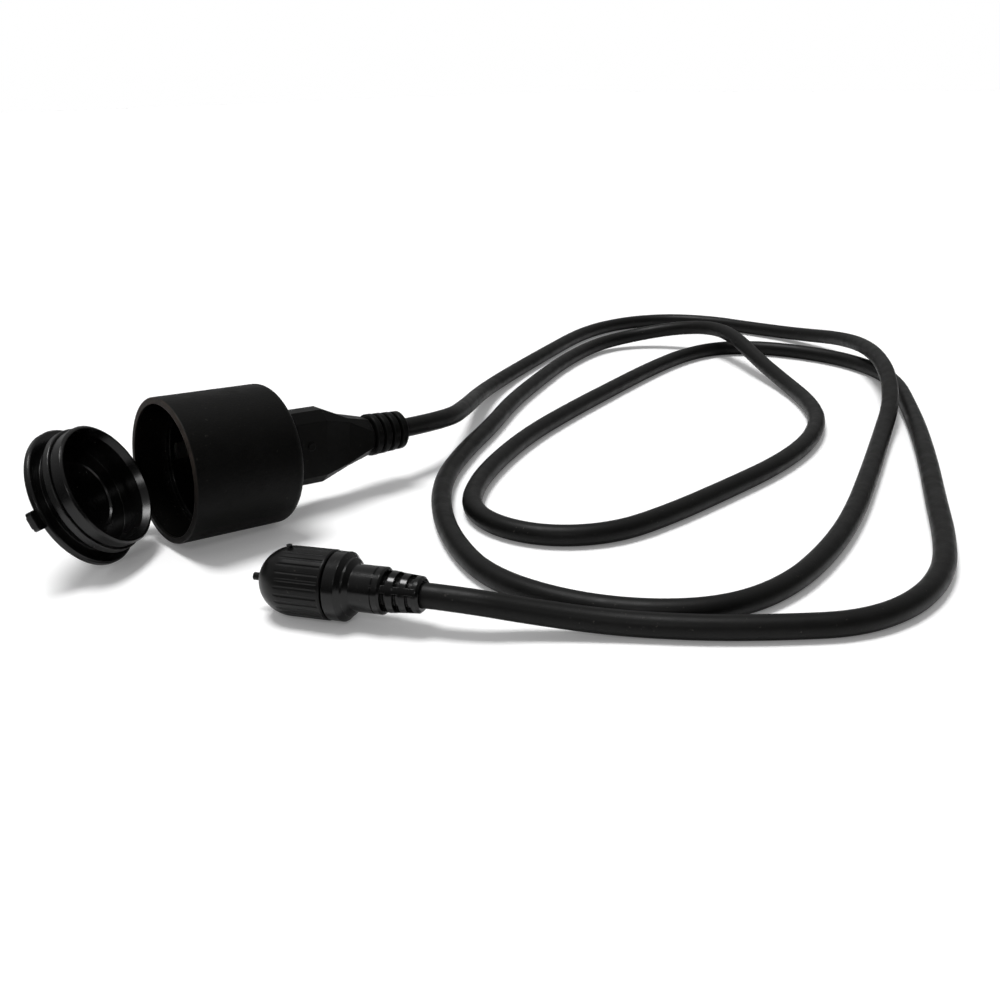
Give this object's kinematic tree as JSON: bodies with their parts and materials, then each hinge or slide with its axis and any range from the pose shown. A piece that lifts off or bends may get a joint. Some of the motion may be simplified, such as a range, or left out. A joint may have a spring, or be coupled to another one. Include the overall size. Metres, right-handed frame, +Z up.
{
  "type": "socket extension cord",
  "caption": "Round mains socket with a hinged sealing lid on a looped rubber cord, with a small round screw-capped connector at the far end.",
  "frame": {"origin": "middle of the socket's mouth, where its bore meets the rim face", "axes": "+X level and back from the mouth towards the grip, +Z up from the floor that the part lies on; the socket's own axis is tilted 4 degrees, mouth up"},
  "size_m": [0.4527, 0.3301, 0.0525],
  "materials": {
    "shell": "fine-grained matte black",
    "carrier": "glossy black",
    "contacts": "plain brass",
    "earth_metal": "nickel-plated strip",
    "core_brown": "insulated core",
    "core_blue": "insulated core",
    "core_green": "insulated core",
    "grip": "satin black",
    "pin_metal": "plain steel",
    "lid": "glossy black",
    "seal": "soft black rubber",
    "cord": "dusty matte black rubber",
    "connector": "glossy black",
    "insert": "black",
    "cap": "glossy black, fluted"
  },
  "bodies": {
    "socket": {"socket_shell": "shell", "contact_carrier": "carrier", "contact_sleeve_upper": "contacts", "contact_sleeve_lower": "contacts", "earth_strap": "earth_metal", "core_wire_live": "core_brown", "core_wire_neutral": "core_blue", "core_wire_earth": "core_green", "grip_boot": "grip", "hinge_pin": "pin_metal", "cord": "cord", "connector_body": "connector", "connector_insert": "insert", "contact_pin_1": "contacts", "contact_pin_2": "contacts", "contact_pin_3": "contacts"},
    "lid": {"lid": "lid", "lid_seal": "seal"},
    "cap_lift": {"cap_seal": "seal"},
    "cap": {"screw_cap": "cap"}
  },
  "joints": [
    {"name": "lid_hinge", "type": "hinge", "parent": "socket", "child": "lid", "pos_m": [-0.00262, 0.02225, -0.01602], "axis": [-0.0564, -0.5878, -0.807], "range_deg": [-56, 100]},
    {"name": "cap_slide", "type": "slide", "parent": "socket", "child": "cap_lift", "axis": [-0.4998, 0.8657, -0.0262], "range_m": [0, 0.01001]},
    {"name": "cap_turn", "type": "hinge", "parent": "cap_lift", "child": "cap", "pos_m": [0.0122, -0.0841, -0.01672], "axis": [-0.4998, 0.8657, -0.0262], "range_deg": [0, 1440]}
  ],
  "couplings": [
    {"joint": "cap_slide", "follows": "cap_turn", "m_per_rad": 0.00039789}
  ]
}
